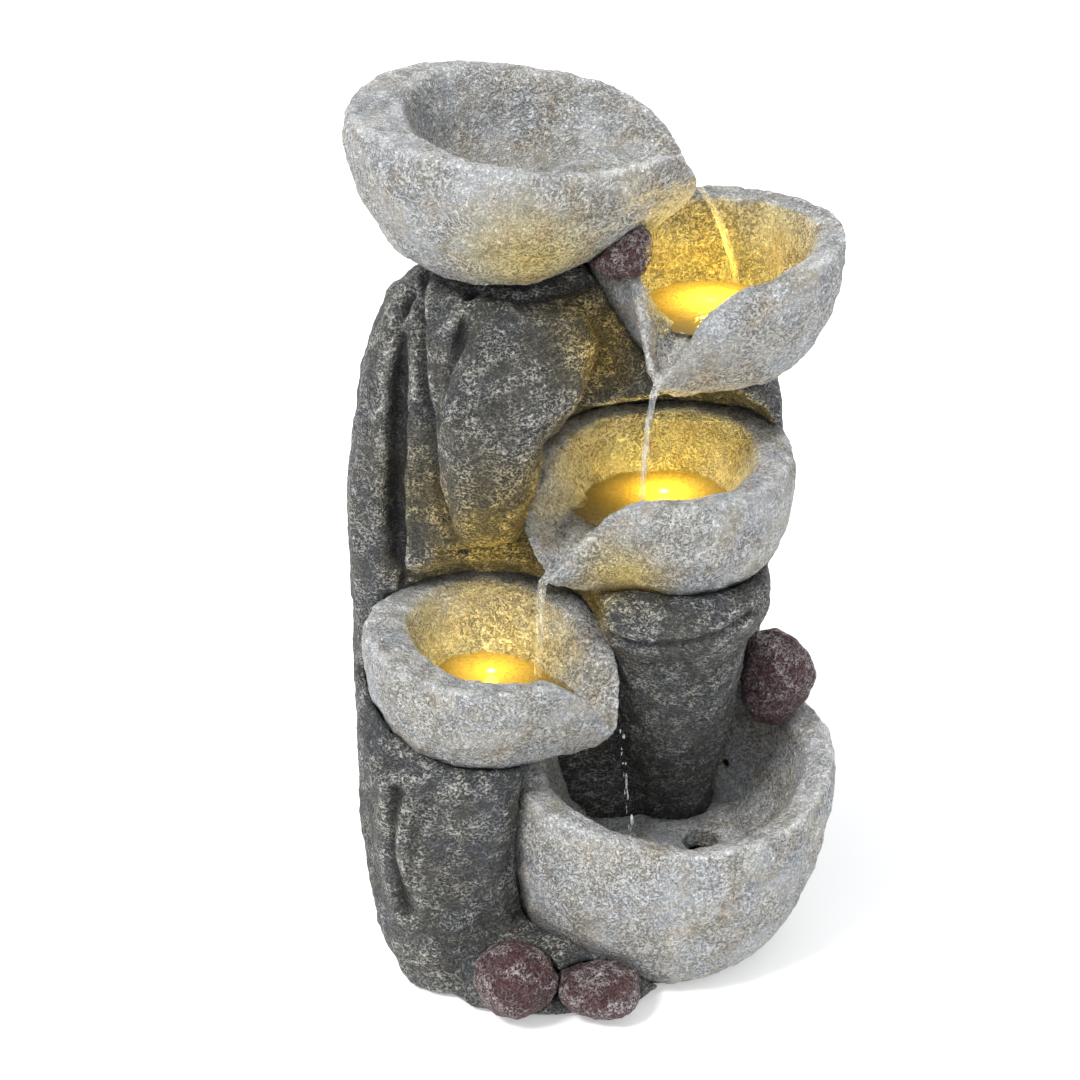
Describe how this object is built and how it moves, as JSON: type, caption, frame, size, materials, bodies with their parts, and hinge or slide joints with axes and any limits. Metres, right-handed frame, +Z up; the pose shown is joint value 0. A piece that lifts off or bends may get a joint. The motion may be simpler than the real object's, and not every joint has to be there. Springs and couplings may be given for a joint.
{
  "type": "tabletop water fountain",
  "caption": "Tabletop cascade fountain: stone-look bowls with spouts step down a rock column into a basin, lit by warm lamps, with a pump behind a rear door.",
  "frame": {"origin": "on the table plane, under the centre of the whole outline", "axes": "+Z up, +Y towards the flat rear face with the pump door, -Y towards the basin at the front, +X to the right seen from the front"},
  "size_m": [0.2594, 0.2464, 0.4176],
  "materials": {
    "dark_rock": "matte, dark slate paint with a pale dry brush on the ridges",
    "light_stone": "matte, light grey paint, brown in the pits and white on the edges",
    "red_pebble": "matte, dark red paint with a pale dry brush",
    "lamp_body": "matte black",
    "lamp_lens": "clear, lit warm yellow",
    "cable": "satin black insulation",
    "black_plastic": "fine moulded texture",
    "dark_plastic": "satin",
    "door_plastic": "fine moulded texture",
    "sponge": "open-cell foam",
    "blue_plastic": "smooth",
    "steel": "brushed",
    "brass": "machined",
    "clear_hose": "clear flexible tube",
    "rubber": "soft, matte"
  },
  "bodies": {
    "fountain": {"rock_column": "dark_rock", "top_bowl": "light_stone", "upper_bowl": "light_stone", "middle_bowl": "light_stone", "lower_bowl": "light_stone", "basin": "light_stone", "pebble_top": "red_pebble", "pebble_right": "red_pebble", "pebble_front_large": "red_pebble", "pebble_front_small": "red_pebble", "lamp_upper_housing": "lamp_body", "lamp_upper_lens": "lamp_lens", "lamp_upper_lead": "cable", "lamp_middle_housing": "lamp_body", "lamp_middle_lens": "lamp_lens", "lamp_middle_lead": "cable", "lamp_lower_housing": "lamp_body", "lamp_lower_lens": "lamp_lens", "lamp_lower_lead": "cable", "junction_box": "black_plastic", "pump_housing": "black_plastic", "pump_nozzle": "dark_plastic", "pump_cover": "dark_plastic", "pump_strainer": "black_plastic", "pump_sponge": "sponge", "impeller_shaft": "steel", "suction_cup_1": "rubber", "suction_cup_2": "rubber", "suction_cup_3": "rubber", "suction_cup_4": "rubber", "riser_hose": "clear_hose", "hose_clamp": "steel", "top_outlet": "dark_plastic", "basin_plug": "rubber", "door_insert": "brass", "cord_gland": "rubber", "foot_pad_1": "rubber", "foot_pad_2": "rubber", "foot_pad_3": "rubber", "foot_pad_4": "rubber"},
    "impeller": {"pump_impeller": "blue_plastic"},
    "dial": {"flow_dial": "blue_plastic"},
    "door": {"door": "door_plastic"},
    "thumbscrew": {"door_thumbscrew": "black_plastic"}
  },
  "joints": [
    {"name": "impeller_spin", "type": "hinge", "parent": "fountain", "child": "impeller", "pos_m": [-0.01873, 0.04242, 0.031], "axis": [0, 1, 0], "continuous": true},
    {"name": "flow_dial_turn", "type": "hinge", "parent": "fountain", "child": "dial", "pos_m": [0.00327, 0.03842, 0.039], "axis": [1, 0, 0], "range_deg": [0, 90]},
    {"name": "door_lift_off", "type": "slide", "parent": "fountain", "child": "door", "axis": [0, 1, 0], "range_m": [0, 0.06]},
    {"name": "thumbscrew_turn", "type": "hinge", "parent": "door", "child": "thumbscrew", "pos_m": [-0.01273, 0.09442, 0.103], "axis": [0, 1, 0], "continuous": true}
  ]
}
